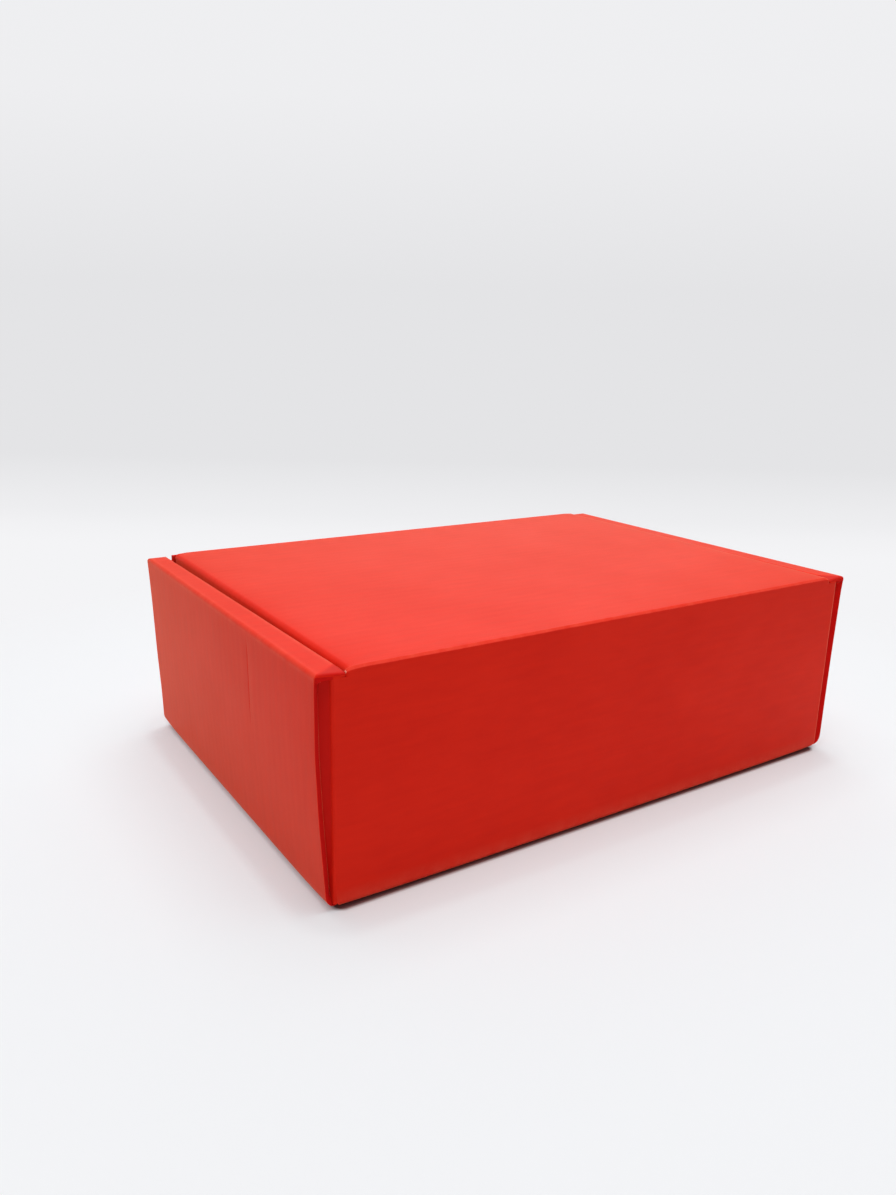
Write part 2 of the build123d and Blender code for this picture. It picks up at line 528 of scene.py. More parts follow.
    def build(self, settle: Settle, papers: Sequence[bpy.types.Material]) -> bpy.types.Object:
        """Makes the object.

        Args:
            settle: Moves the points from their true places to where worn board lies.
            papers: One material for each liner, in the order of their values.

        Returns:
            The object, at the origin, with its faces pointing outwards.
        """
        self._add_walls()
        points = settle(np.concatenate(self.points)) * MM
        quads = np.concatenate(self.quads)
        mesh = bpy.data.meshes.new(self.name)
        mesh.from_pydata(points.tolist(), [], quads.tolist())
        for paper in papers:
            mesh.materials.append(paper)
        liners = np.concatenate(self.liners).astype(np.int32)
        mesh.polygons.foreach_set("material_index", liners)
        mesh.polygons.foreach_set("use_smooth", np.ones(len(quads), bool))
        sheet = mesh.attributes.new("sheet", "FLOAT_VECTOR", "POINT")
        lengths = np.concatenate(self.sheet) * np.array([MM, MM, 1.0])
        sheet.data.foreach_set("vector", lengths.astype(np.float32).ravel())
        mesh.validate()
        made = placed(self.name, mesh)
        weld(made)
        mesh.set_sharp_from_angle(angle=SHARP_TURN)
        return made


def weld(made: bpy.types.Object) -> None:
    """Merges points that lie on each other, such as where two panels of the sheet meet."""
    whole = bmesh.new()
    whole.from_mesh(made.data)
    bmesh.ops.remove_doubles(whole, verts=whole.verts, dist=WELD_REACH)
    whole.to_mesh(made.data)
    whole.free()


@dataclass(frozen=True)
class Settling:
    """How the folded board lies, against the true shape of its pattern."""

    edge_lift: float = 0.5
    corner_lift: float = 0.9
    lift_height: float = 40.0
    edge_power: int = 8
    corner_power: int = 6
    lid_sag: float = 0.35
    sag_half: Point = (150.0, 112.0)
    sag_start: float = 100.0
    sag_fade: float = 4.0
    wall_bow: float = 0.35
    crease_drop: float = 0.0
    crease_reach: float = 18.0
    side_drop: float = 0.0
    side_reach: float = 12.0
    drop_fade: float = 2.0

    def __call__(self, points: np.ndarray) -> np.ndarray:
        """Moves points a little, as smooth functions of their place.

        The base's long edges lift by (y / half)^8 and its corners further by (x / half)^6, the
        lid's middle sags by the product of two cosines, the lid drops as the square of the
        nearness to its crease and to its sides, and the long walls draw in by the sine of the
        height.

        Args:
            points: Places in the true shape.

        Returns:
            The places where the board lies.
        """
        x, y, z = points.T
        moved = points.copy()
        share_x = np.clip(np.abs(x) / BOX.wall_end, 0, 1)
        edge = np.clip(np.abs(y / BOX.box_back), 0, 1) ** self.edge_power
        low = np.clip(1 - z / self.lift_height, 0, 1) * edge
        moved[:, 2] += (self.edge_lift + self.corner_lift * share_x**self.corner_power) * low
        half_x, half_y = self.sag_half
        span_x = np.cos(np.clip(x / half_x, -1, 1) * math.pi / 2)
        span_y = np.cos(np.clip(y / half_y, -1, 1) * math.pi / 2)
        high = np.clip((z - self.sag_start) / self.sag_fade, 0, 1)
        moved[:, 2] -= self.lid_sag * span_x * span_y * high
        near_crease = np.clip(1 - (y - BOX.box_back) / self.crease_reach, 0, 1) ** 2
        near_side = np.clip(1 - (BOX.inner_face - np.abs(x)) / self.side_reach, 0, 1) ** 2
        top = np.clip((z - BOX.rim_under) / self.drop_fade, 0, 1)
        moved[:, 2] -= (self.crease_drop * near_crease + self.side_drop * near_side) * top
        height = np.sin(np.clip(z / BOX.rim_top, 0, 1) * math.pi)
        moved[:, 1] -= np.sign(y) * self.wall_bow * span_x * height * edge
        return moved


@dataclass(frozen=True)
class EdgeLine:
    """How far one edge of an end wall's outer panel stands off the wall's end, by height."""

    heights: Point
    stand_off: Point

    def at(self, height: np.ndarray) -> np.ndarray:
        """The stand-off at the given heights, on straight lines between those stated."""
        return np.interp(height, self.heights, self.stand_off)


@dataclass
class Tray:
    """Base, walls, corner flaps and rolled-over end walls: the board that stands still.

    A field ending in `steps` or `columns` says how finely a panel is divided, and one ending
    in `stations` gives places along it as (first, last, how many).
    """

    papers: Sequence[bpy.types.Material]
    settle: Settle
    strip_steps: tuple[int, ...] = (1, 18, 1, 6, 9, 13, 9, 6, 1, 18, 1, 2)
    strip_stations: tuple[float, float, int] = (-146.0, 146.0, 50)
    strip_side: float = 150.0
    shoulder: float = 152.3
    slot_side: float = 155.7
    base_end: float = 155.9
    slot_ends: Point = (35.2, 80.8)
    tab_ends: Point = (36.0, 80.0)
    tab_foot: float = 0.2
    long_fold: float = 3.0
    foot_fold: float = 7.0
    fold_start: float = 158.0

    flap_low: float = 3.5
    flap_high: float = 103.05
    flap_length: float = 84.0
    flap_slope: float = 6.0
    flap_round: float = 12.0
    flap_chin: float = 1.5
    flap_clear: float = 2.0
    flap_clear_run: float = 6.0
    flap_shares: tuple[float, float, int, int] = (0.05, 0.86, 8, 6)
    flare_steps: int = 5
    flare_run: float = 2.0
    flare_power: float = 1.2
    flare_fade: float = 1.2
    flare_gap: float = 0.05
    # Painted highlight on the corner fold at the back wall's high-X end: place, width and
    # strength. The width also sets how soon the painted shade past a flap's fold comes in.
    highlight_place: float = 0.7
    highlight_and_shade_reach: float = 1.2
    corner_highlight: float = 2.2

    panel_steps: int = 18
    panel_last_step: float = 0.985
    rim_steps: int = 10
    inner_steps: int = 16
    wall_stations: tuple[float, float, int] = (-97.0, 97.0, 33)
    near_stations: tuple[tuple[float, float, int], ...] = (
        (-114.25, -111.5, 6), (-110.5, -101.0, 10)
    )
    wall_fixed: float = 100.0
    panel_recess: float = 0.3
    recess_end: float = 97.0
    panel_corner: float = 3.0
    inner_panel_end: float = 110.85
    inner_panel_start: float = 0.5
    cut_slant: float = 2.6
    slant_fade: float = 0.5
    end_recess: float = 0.15
    pressed_run: float = 10.0
    pressed_drop: float = 1.3
    # How soon the painted shade on the rim's pressed corner gets to its full depth.
    facet_shade_rise: float = 5.0
    rim_end_round: float = 1.6
    rim_end_drop: float = 0.7
    rim_far_round: float = 4.0
    rim_far_drop: float = 1.5

    left_near: EdgeLine = EdgeLine((0, 8, 21, 44, 71, 104), (3.4, 3.6, 4.6, 6.1, 7.2, 7.2))
    right_near: EdgeLine = EdgeLine(
        (0, 11, 37, 59, 80, 98, 106), (4.4, 4.6, 4.7, 4.9, 5.4, 5.8, 6.0)
    )
    far_edge: EdgeLine = EdgeLine((0, 23, 49, 80, 104), (3.2, 3.8, 5.0, 6.0, 7.1))
    left_lean: Point = (0.5, 2.9)
    right_lean: Point = (0.5, 1.0)
    kink_place: float = -43.0
    kink_width: float = 0.32
    kink_depth: float = 0.2
    kink_heights: Point = (58.0, 72.0, 96.0, 101.0)
    kink_stations: tuple[float, float, int] = (-2.0, 2.0, 9)

    def long_strip(self) -> tuple[Skins, np.ndarray, np.ndarray]:
        """Back wall, base and front wall, folded along the long way.

        Returns:
            The strip, and the heights of its rows beside a corner flap, outer and inner.
        """
        back, front = BOX.box_back, -BOX.box_back
        t = BOARD.thickness
        slot_low, slot_high = self.slot_ends
        outer_corners = [
            (back, BOX.rim_under), (back, self.flap_high), (back, self.flap_low), (back, 0),
            (-slot_high, 0), (-slot_low, 0), (slot_low, 0), (slot_high, 0), (front, 0),
            (front, self.flap_low), (front, self.flap_high), (front, BOX.rim_under),
            (front, BOX.rim_top),
        ]
        draw_in = {back: t, front: -t}
        inner_corners = [(y + draw_in.get(y, 0), max(z, t)) for y, z in outer_corners]
        folds = [abs(y) == front and z == 0 for y, z in outer_corners]
        runs = [even(count) for count in self.strip_steps]
        outer = rounded(outer_corners, [self.long_fold * fold for fold in folds], runs)
        inner = rounded(inner_corners, [BOARD.inner_fold * fold for fold in folds], runs)

        rise = np.sin(np.clip(outer[:, 1] / self.long_fold, 0, 1) * math.pi / 2)
        end = self.base_end + (self.fold_start - self.base_end) * rise
        inner_start = BOX.wall_end - t - BOARD.inner_fold
        inner_end = self.base_end + (inner_start - self.base_end) * rise
        side = np.array([self.strip_side, self.shoulder, self.slot_side, self.base_end])
        stations = np.concatenate([np.linspace(*self.strip_stations), side, -side])
        stations = np.unique(stations)
        columns = tuple(
            stretched(stations, line, self.shoulder, self.base_end) for line in (end, inner_end)
        )
        liners = grids((outer, inner), "yz", columns)

        keep = all_cells(len(outer), len(stations))
        middle_y, middle_z = ((outer[1:] + outer[:-1]) / 2).T
        middle_x = np.abs(stations[1:] + stations[:-1]) / 2
        beyond = middle_x > self.shoulder
        keep[np.ix_(middle_z > BOX.rim_under, beyond)] = False
        slot_rows = (np.abs(middle_y) > slot_low) & (np.abs(middle_y) < slot_high)
        keep[np.ix_(slot_rows, beyond & (middle_x < self.slot_side))] = False

        across = by_row(travelled(outer), len(stations))
        along = by_column(stations, len(outer))
        fold = by_row(fold_mask(outer), len(stations))
        # Painted highlight on the back wall's end column at high X, beside the corner fold.
        fold[(outer[:, 1] >= self.flap_low - SLACK) & (outer[:, 0] < 0), -1] = self.corner_highlight
        strip = Skins(*liners, keep, across, along, fold).turned().softened(False, True).turned()
        first = int(np.argmin(np.abs(outer[:, 1] - self.flap_high)[: len(outer) // 2]))
        rows = slice(first, first + self.strip_steps[1] + 1)
        return strip, outer[rows, 1], inner[rows, 1]

    def corner_flap(
        self, heights: np.ndarray, inner_heights: np.ndarray, edge: EdgeLine, rub_and_highlight: float = 0.0
    ) -> Skins:
        """The flap that the back wall turns in at high X.

        Its upper edge slopes down to its free end, and both free corners are rounded: each
        row's height goes from its own at the fold to its share of what is left there. A last
        row closes the box's corner below the flap. Behind its fold the flap flares out until
        it meets the end wall's outer panel, and then comes back to its own plane. Past its
        fold the flap takes a painted shade, and the fold itself may take a painted highlight.

        Args:
            heights: The outer liner's rows beside the flap, from the top down.
            inner_heights: The inner liner's rows.
            edge: The nearer edge of the end wall's outer panel.
            rub_and_highlight: How strong the painted highlight on the fold is.

        Returns:
            The flap, from the wall round its fold to the free end.
        """
        t, back = BOARD.thickness, BOX.box_back
        tip = back + self.flap_length
        turn = np.linspace(0, math.pi / 2, BOARD.fold_steps + 1)
        flaring = even(self.flare_steps) * self.flare_run / self.flap_length
        run = np.concatenate([flaring, eased(*self.flap_shares)])
        fold = BOX.wall_end - self.fold_start
        liners = []
        for z, thick, deep in ((heights, 0.0, fold), (inner_heights, t, BOARD.inner_fold)):
            plane, start = BOX.wall_end - thick, back + thick
            folded = start + deep * (1 - np.cos(turn))
            x = np.append(plane - deep * (1 - np.sin(turn)), np.full(len(run), plane))
            y = np.append(folded, start + (deep + run * (tip - start - deep)))
            flare = np.clip((y - start - deep) / self.flare_run, 0, 1) ** self.flare_power
            flare *= np.clip(self.flare_fade - (y - start) / self.flap_length, 0, 1) ** 2
            out = np.maximum(edge.at(np.append(z, z[-1])) - t - self.flare_gap, 0)[:, None]
            off = round_off(tip - y, self.flap_round)
            away = np.clip((y - back - fold) / self.flap_clear_run, 0, 1)
            slope = self.flap_slope * np.clip((y - back - 2 * t) / (tip - back - 2 * t), 0, 1)
            low, high = z.min() + off + self.flap_clear * away, z.max() - slope - off
            share = ((z - z.min()) / (z.max() - z.min()))[:, None]
            height = low + share * (high - low)
            height = np.vstack([height, height[-1:] - self.flap_chin * (1 - away)])
            liners.append(np.stack(np.broadcast_arrays(x + out * flare, y, height), -1))
        rows, columns = liners[0].shape[:2]
        length = travelled(liners[0][0, :, :2])
        # Painted highlight on the fold, and painted shade on the flap past its fold.
        wear_and_highlight = rub_and_highlight * np.exp(-(((length - fold * self.highlight_place) / self.highlight_and_shade_reach) ** 2))
        wear_and_highlight -= np.clip((length - fold) / self.highlight_and_shade_reach, 0, 1)
        across, along = liners[0][..., 2], by_column(length, rows) + BOX.wall_end
        return Skins(*liners, all_cells(rows, columns), across, along, by_column(wear_and_highlight, rows))

    def end_section(self) -> tuple[np.ndarray, np.ndarray]:
        """Section of an end wall at high X, from the base round the foot and the rim.

        Returns:
            The outer and the inner liner's section, in X and Z.
        """
        t, foot, face = BOARD.thickness, BOX.foot_outside, BOX.inner_face
        outer_corners = [
            (self.base_end, 0), (foot, 0), (BOX.rim_outside, BOX.rim_top), (face, BOX.rim_top),
            (face, BOX.seat), (face, self.tab_foot),
        ]
        inner_corners = [
            (self.base_end, t), (foot - t, t), (BOX.rim_outside - t, BOX.rim_under),
            (face + t, BOX.rim_under), (face + t, BOX.seat), (face + t, self.tab_foot),
        ]
        panel = np.append(even(self.panel_steps)[:-1], [self.panel_last_step, 1.0])
        runs = [even(1), panel, even(self.rim_steps), even(self.inner_steps), even(1)]
        large, small = BOARD.outer_fold, BOARD.inner_fold
        outer = rounded(outer_corners, [0, self.foot_fold, large, large, 0, 0], runs)
        inner = rounded(inner_corners, [0, self.foot_fold - t, small, small, 0, 0], runs)
        return outer, inner

    def end_stations(self) -> np.ndarray:
        """Places along an end wall: close together at its ends, its tabs and its kink."""
        near = np.concatenate([np.linspace(*run) for run in self.near_stations])
        marks = np.array([self.wall_fixed, *self.tab_ends])
        kink = self.kink_place + self.kink_width * np.linspace(*self.kink_stations)
        plain = np.linspace(*self.wall_stations)
        every = np.concatenate([near, -near[::2], plain, marks, -marks, kink])
        return np.unique(np.round(every, 4))

    def end_wall(self) -> Skins:
        """The rolled-over end wall at high X: outer panel, rim, inner panel and tabs.

        The rim's outside is kept under a ceiling, which slopes down over the pressed corner
        beside the lid's crease and is rounded off at both ends.

        Returns:
            The wall, with its outer panel straight.
        """
        outer, inner = self.end_section()
        stations = self.end_stations()
        x, z = outer.T
        rim_row = int(np.argmin(np.abs(x - BOX.rim_outside) + np.abs(z - BOX.rim_top)))
        is_panel = np.arange(len(outer)) < rim_row
        nominal_end = -BOX.box_back
        rise = np.clip((z - self.recess_end) / (BOX.rim_under - self.recess_end), 0, 1)
        end = nominal_end - self.panel_recess - round_off(z, self.panel_corner) * is_panel
        end += self.panel_recess * rise
        inner_top = BOX.rim_top - BOARD.outer_fold - self.inner_panel_start
        end[(x <= BOX.inner_face + SLACK) & (z < inner_top)] = self.inner_panel_end
        slant = np.clip((BOX.rim_under - z) / self.slant_fade, 0, 1) * is_panel
        columns = tuple(
            stretched(stations, line, self.wall_fixed, nominal_end)
            for line in (end, end - self.cut_slant * slant)
        )
        skin_outer, skin_inner = grids((outer, inner), "xz", columns)

        keep = all_cells(len(outer), len(stations))
        tab_low, tab_high = self.tab_ends
        middle = np.abs(stations[1:] + stations[:-1]) / 2
        keep[-1] = (middle > tab_low) & (middle < tab_high)

        press = 1 - (skin_outer[..., 1] - BOX.box_back) / self.pressed_run
        press -= (skin_outer[..., 0] - BOX.inner_face) / (BOX.rim_outside - BOX.inner_face)
        ceiling = BOX.rim_top - self.pressed_drop * np.clip(press, 0, 1)
        for side, radius, drop in (
            (1, self.rim_end_round, self.rim_end_drop), (-1, self.rim_far_round, self.rim_far_drop)
        ):
            ceiling -= round_off(side * skin_outer[..., 1] - BOX.box_back, radius) * drop / radius
        skin_outer[..., 2] = np.minimum(skin_outer[..., 2], ceiling)

        along = by_row(travelled(outer), len(stations)) + BOX.wall_end
        fold = by_row(fold_mask(outer) * (z > BOX.rim_top / 2), len(stations))
        # Painted shade on the rim's pressed corner: a fold value below 0 darkens the paper there.
        is_pressed = (press > 0) & (skin_outer[..., 2] > BOX.rim_under)
        fold = np.where(is_pressed, -np.clip(press * self.facet_shade_rise, 0, 1), fold)
        made = Skins(skin_outer, skin_inner, keep, columns[0], along, fold).softened(True, True)
        made.inner[..., 2] = np.minimum(made.inner[..., 2], BOX.rim_under)
        made.fold[:, 0] *= made.outer[:, 0, 0] < self.fold_start
        return made

    def bowed(self, wall: Skins, near: EdgeLine, lean: Point) -> Skins:
        """Bows the outer panel of an end wall at high X, and leans the inner one.

        Each point of the outer panel stands off by what the two edge lines give at its height,
        blended from the low-Y edge to the high-Y edge, against the straight panel of the
        pattern. The inner panel leans outwards as the square of the height. Over the rim one
        goes over into the other.

        Args:
            wall: The end wall as folded from the pattern.
            near: The outer panel's low-Y edge.
            lean: How far the inner panel leans out at the rim, at low Y and at high Y.

        Returns:
            The bowed wall.
        """
        middle = wall.outer[:, wall.outer.shape[1] // 2]
        # The outermost row, and the highest of those that stand equally far out.
        rim_row = int(np.argmax(middle[:, 0] + middle[:, 2] * 1e-3))
        is_panel = (np.arange(len(middle)) <= rim_row)[:, None]
        for skin in (wall.outer, wall.inner):
            x, y, z = np.moveaxis(skin, -1, 0)
            share = np.clip((y - BOX.box_back) / (-2 * BOX.box_back), 0, 1)
            flare = BOX.rim_outside - BOX.foot_outside
            straight = BOX.foot_outside + flare * z / BOX.rim_top
            stand_off = near.at(z) * (1 - share) + self.far_edge.at(z) * share
            offset = stand_off + BOX.wall_end - straight
            foot = np.clip((x - self.base_end) / (BOX.foot_outside - self.base_end), 0, 1)
            over = np.clip((x - BOX.inner_face) / (BOX.rim_outside - BOX.inner_face), 0, 1)
            leaning = (lean[0] * (1 - share) + lean[1] * share) * (z / BOX.rim_top) ** 2
            inside = over * (z > BOX.rim_under) * offset + (1 - over) * leaning
            skin[..., 0] += np.where(is_panel, foot * offset, inside)
        return wall

    def kinked(self, wall: Skins) -> Skins:
        """Presses the faint upright kink into the outer panel of an end wall at high X.

        It is a groove, -depth * exp(-u^2), where u is the distance along Y from the kink's
        place in widths.

        Args:
            wall: The bowed wall.

        Returns:
            The wall with its kink.
        """
        x, y, z = np.moveaxis(wall.outer, -1, 0)
        share = (y - self.kink_place) / self.kink_width
        shown = np.interp(z, self.kink_heights, (0, 1, 1, 0)) * (x > BOX.wall_end)
        wall.outer[..., 0] -= self.kink_depth * np.exp(-(share**2)) * shown
        return wall

    def build(self) -> bpy.types.Object:
        """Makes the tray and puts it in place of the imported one."""
        whole = BoardMesh("tray_board")
        strip, *heights = self.long_strip()
        whole.add_skins(strip)
        whole.add_skins(self.corner_flap(*heights, self.right_near, self.corner_highlight))
        whole.add_skins(self.corner_flap(*heights, self.left_near).mirrored(0))
        hidden = self.corner_flap(*heights, self.far_edge).mirrored(1)
        whole.add_skins(hidden)
        whole.add_skins(hidden.mirrored(0))
        right = self.bowed(self.end_wall(), self.right_near, self.right_lean)
        left = self.kinked(self.bowed(self.end_wall(), self.left_near, self.left_lean))
        whole.add_skins(right, self.end_recess)
        whole.add_skins(left.mirrored(0), self.end_recess)
        made = whole.build(self.settle, self.papers)
        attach(made, "tray")
        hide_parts("tray")
        log.info("tray: %d faces", len(made.data.polygons))
        return made


@dataclass
class Lid:
    """Lid panel with side flaps and tuck flap: the board that swings."""

    papers: Sequence[bpy.types.Material]
    settle: Settle
    seam: float = -109.25
    front: float = 110.75
    half_back: float = 152.3
    taper: float = 0.5
    margin: float = 4.0
    inner_margin: float = 4.3
    panel_steps: int = 34
    fixed_half: float = 130.0
    fixed_columns: int = 23
    outer_columns: Point = (138.0, 145.0)
    edge_columns: int = 6
    corner_round: float = 2.6
    plan_round: float = 2.5

    flap_end: float = 107.6
    flap_depth: float = 64.0
    flap_rake: float = 14.0
    flap_round: float = 12.0
    flap_shares: tuple[float, float, int, int] = (0.0, 0.8, 8, 8)
    side_fold: float = 2.4
    side_start: float = 108.4
    side_step: float = 0.05

    tuck_depth: float = 32.0
    tuck_lean: float = 2.4
    tuck_half: float = 146.2
    tuck_round: float = 12.0
    tuck_shares: tuple[float, float, int, int] = (0.01, 0.6, 5, 7)

    def half(self, y: np.ndarray) -> np.ndarray:
        """Half the lid's width at y: it narrows evenly from the crease to the front."""
        return self.half_back - self.taper * (y - BOX.box_back) / (self.front - BOX.box_back)

    def panel(self) -> tuple[Skins, np.ndarray, np.ndarray]:
        """The lid and its tuck flap, folded along the front.

        Beside the side flaps its rows end at a margin, where the flaps' own grids begin. The
        few rows beyond them, up to the fold, go the whole width with rounded corners.

        Returns:
            The panel, and the Y places of its rows beside the side flaps, outer and inner.
        """
        t, top = BOARD.thickness, BOX.lid_top
        foot = top - self.tuck_depth
        places = (self.seam, self.flap_end, self.side_start, self.side_start + self.side_step)
        outer_corners = [(y, top) for y in (*places, self.front)]
        outer_corners.append((self.front - self.tuck_lean, foot))
        inner_corners = [(y, top - t) for y in (*places, self.front - t)]
        inner_corners.append((self.front - self.tuck_lean - t, foot))
        hang = np.append(self.tuck_shares[0], eased(*self.tuck_shares))
        runs = [even(self.panel_steps), even(1), even(1), even(1), hang]
        outer = rounded(outer_corners, [0, 0, 0, 0, BOARD.outer_fold, 0], runs)
        inner = rounded(inner_corners, [0, 0, 0, 0, BOARD.inner_fold, 0], runs)

        row = np.arange(len(outer))
        last = self.panel_steps + 1
        beside, corner = row <= last, (row > last) & (row <= last + 2 + BOARD.fold_steps)
        length = travelled(outer)
        off = round_off(length[-1] - length, self.tuck_round)
        half = self.half(outer[:, 0])
        half -= corner * round_off(self.front - outer[:, 0], self.plan_round)
        side_lines = self.half_back - self.corner_round * (1 - closing(self.edge_columns))
        stations = np.linspace(0, self.fixed_half, self.fixed_columns)[1:]
        stations = np.concatenate([stations, self.outer_columns, side_lines])
        stations = np.unique(np.concatenate([-stations, [0], stations]))
        columns = []
        for margin in (self.margin, self.inner_margin):
            end = np.where(beside, half - margin, np.where(corner, half, self.tuck_half)) - off
            columns.append(stretched(stations, end, self.fixed_half, self.half_back))
        skin_outer, skin_inner = grids((outer, inner), "yz", tuple(columns))
        drop = round_off(half[:, None] - np.abs(columns[0]), self.corner_round)
        skin_outer = lowered(skin_outer, skin_inner, drop * corner[:, None])

        shape = len(outer), len(stations)
        across, fold = by_row(length, shape[1]), by_row(fold_mask(outer), shape[1])
        along = by_column(stations, shape[0])
        panel = Skins(skin_outer, skin_inner, all_cells(*shape), across, along, fold)
        return panel, outer[: last + 1, 0], inner[: last + 1, 0]

    def side_flap(self, rows: np.ndarray, inner_rows: np.ndarray) -> Skins:
        """The side flap at high X, with the lid's edge that it hangs from.

        Past the fold a row lies at its share of the flap's width at that depth, which the
        rake and the two rounded corners narrow.

        Args:
            rows: The outer liner's Y places beside the flap.
            inner_rows: The inner liner's.

        Returns:
            The flap, from the lid round its fold to the free edge.
        """
        t, top, depth = BOARD.thickness, BOX.lid_top, self.flap_depth
        runs = [even(1), eased(*self.flap_shares)]
        paths = [
            rounded([(start, high), (side, high), (side, top - depth)], [0, radius, 0], runs)
            for start, side, high, radius in (
                (-self.margin, 0, top, self.side_fold),
                (-self.inner_margin, -t, top - t, BOARD.inner_fold),
            )
        ]
        hanging = np.arange(len(paths[0])) > BOARD.fold_steps + 1
        liners = []
        for path, y in zip(paths, (rows, inner_rows)):
            down = (top - path[:, 1])[None, :]
            off = round_off(depth - down, self.flap_round)
            low = self.seam + off
            high = self.flap_end - self.flap_rake * np.clip((down - t) / (depth - t), 0, 1) - off
            share = (y[:, None] - self.seam) / (self.flap_end - self.seam)
            raked = low + np.clip(share, 0, 1) * (high - low)
            points = np.empty((len(y), len(path), 3))
            points[..., 1] = np.where(hanging[None, :], raked, y[:, None])
            points[..., 0] = path[:, 0] + self.half(points[..., 1])
            points[..., 2] = path[:, 1]
            liners.append(points)
        shape = liners[0].shape[:2]
        keep = all_cells(*shape)
        keep[self.panel_steps :, BOARD.fold_steps + 1 :] = False
        along = by_column(travelled(paths[0]), shape[0]) + self.half_back
        return Skins(*liners, keep, liners[0][..., 1] - self.seam, along, np.zeros_like(along))

    def build(self) -> bpy.types.Object:
        """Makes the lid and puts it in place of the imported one."""
        whole = BoardMesh("lid_board")
        panel, rows, inner_rows = self.panel()
        whole.add_skins(panel)
        right = self.side_flap(rows, inner_rows)
        free = slice(None, self.panel_steps + 1)
        for flap in (right, right.mirrored(0)):
            whole.add_skins(flap)
            whole.add_flutes(flap.outer[free, -1], flap.inner[free, -1], (0, 0, 1))
        hung = slice(self.panel_steps + 5 + BOARD.fold_steps, None)
        for column, inward in ((0, 1.0), (-1, -1.0)):
            edge = panel.outer[hung, column], panel.inner[hung, column]
            whole.add_flutes(*edge, (inward, 0, 0))
        made = whole.build(self.settle, self.papers)
        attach(made, "lid")
        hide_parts("lid")
        log.info("lid: %d faces", len(made.data.polygons))
        return made


@dataclass
class Crease:
    """The lid's crease: the stretch of board that bends from the back wall over to the lid.

    Each wave of the narrow flat is (height, length along the crease, start).
    """

    papers: Sequence[bpy.types.Material]
    settle: Settle
    seam: float = -109.25
    wall_half: float = 152.8
    lid_half: float = 152.29
    flat_height: float = 0.95
    flat_depth: float = 1.25
    flat_fade: float = 0.1
    outer_bends: Point = (0.25, 0.45)
    inner_bend: float = 0.1
    inner_flat: float = 0.3
    wall_shares: Point = (0.5, 0.9, 1.0)
    lid_shares: Point = (0.15, 0.5, 1.0)
    side_fold: float = 2.4
    side_share: float = 0.95
    side_depths: Point = (0.2, 0.5, 1.0)
    columns: int = 62
    edge_columns: int = 7
    edge_start: float = 1.2
    wobble: float = 0.14
    waves: tuple[Point, ...] = ((0.3, 17.0, 0.6), (0.2, 5.3, 1.1))
    rub_and_highlight: float = 1.2
    tick: float = 0.3
    tick_below: float = 0.7
    tick_beyond: float = 0.3

    @property
    def line_low(self) -> float:
        """Height of the crease's lower line, on the wall."""
        return BOX.lid_top - self.flat_height

    @property
    def line_high(self) -> float:
        """Y place of its upper line, on the lid."""
        return BOX.box_back + self.flat_depth

    def sections(self) -> tuple[np.ndarray, np.ndarray]:
        """The board across the crease, with two bends near each other and a flat between.

        Returns:
            The outer and the inner liner's section, in Y and Z.
        """
        t, back, top = BOARD.thickness, BOX.box_back, BOX.lid_top
        runs = [np.array(self.wall_shares), even(2), np.array(self.lid_shares)]
        outer = [
            (back, BOX.rim_under), (back, self.line_low), (self.line_high, top), (self.seam, top)
        ]
        low, bend = top - t, self.inner_flat
        inner = [
            (back + t, BOX.rim_under), (back + t, low - bend),
            (back + t + bend, low), (self.seam, low),
        ]
        radii = [0, *self.outer_bends, 0], [0, self.inner_bend, self.inner_bend, 0]
        return rounded(outer, radii[0], runs), rounded(inner, radii[1], runs)

    def skins(self) -> Skins:
        """The crease's liners, whose ends are rounded as the lid's sides are.

        The narrow flat wanders by 0.5 and a few sines of the place along the crease, times
        the wobble.

        Returns:
            The crease.
        """
        outer, inner = self.sections()
        y, z = outer.T
        edge = self.side_fold / self.wall_half
        line = np.linspace(0, 1 - self.edge_start * edge, self.columns)[1:]
        line = np.concatenate([line, 1 - (1 - closing(self.edge_columns)) * edge])
        line = np.unique(np.concatenate([-line, [0], line]))
        ends = 3, len(outer) - 4
        half = np.interp(np.arange(len(outer)), ends, (self.wall_half, self.lid_half))
        across = half[:, None] * line
        skin_outer, skin_inner = grids((outer, inner), "yz", (across, across))
        drop = round_off(half[:, None] - np.abs(across), self.side_fold) * self.side_share
        heights = BOX.rim_under, self.line_low, BOX.lid_top
        drop *= np.interp(z, heights, self.side_depths)[:, None]
        skin_outer = lowered(skin_outer, skin_inner, drop)
        bent = np.clip(1 - (y - self.line_high), 0, 1)
        bent *= np.clip(1 - (self.line_low - z) / self.flat_fade, 0, 1)
        wave = 0.5 + sum(high * np.sin(across / long + start) for high, long, start in self.waves)
        moved = self.wobble * bent[:, None] * wave
        skin_outer[..., 1] += moved
        skin_outer[..., 2] -= moved
        length, fold = by_row(travelled(outer), len(line)), by_row(bent * self.rub_and_highlight, len(line))
        keep = all_cells(len(outer), len(line))
        return Skins(skin_outer, skin_inner, keep, length, across, fold)

    def build(self) -> bpy.types.Object:
        """Makes the crease, torn a little at its low-X end."""
        skins = self.skins()
        whole = BoardMesh("lid_crease")
        whole.add_skins(skins)
        y, z = self.sections()[0].T
        below, beyond = self.line_low - self.tick_below, self.line_high + self.tick_beyond
        torn = (z[:-1] > below) & (y[1:] < beyond)
        ticked = skins.along[0, 1:] < self.tick - self.wall_half
        whole.liners[0].reshape(skins.keep.shape)[np.ix_(torn, ticked)] = Liner.TORN.value
        made = whole.build(self.settle, self.papers)
        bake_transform(made)
        log.info("crease: %d faces", len(made.data.polygons))
        return made


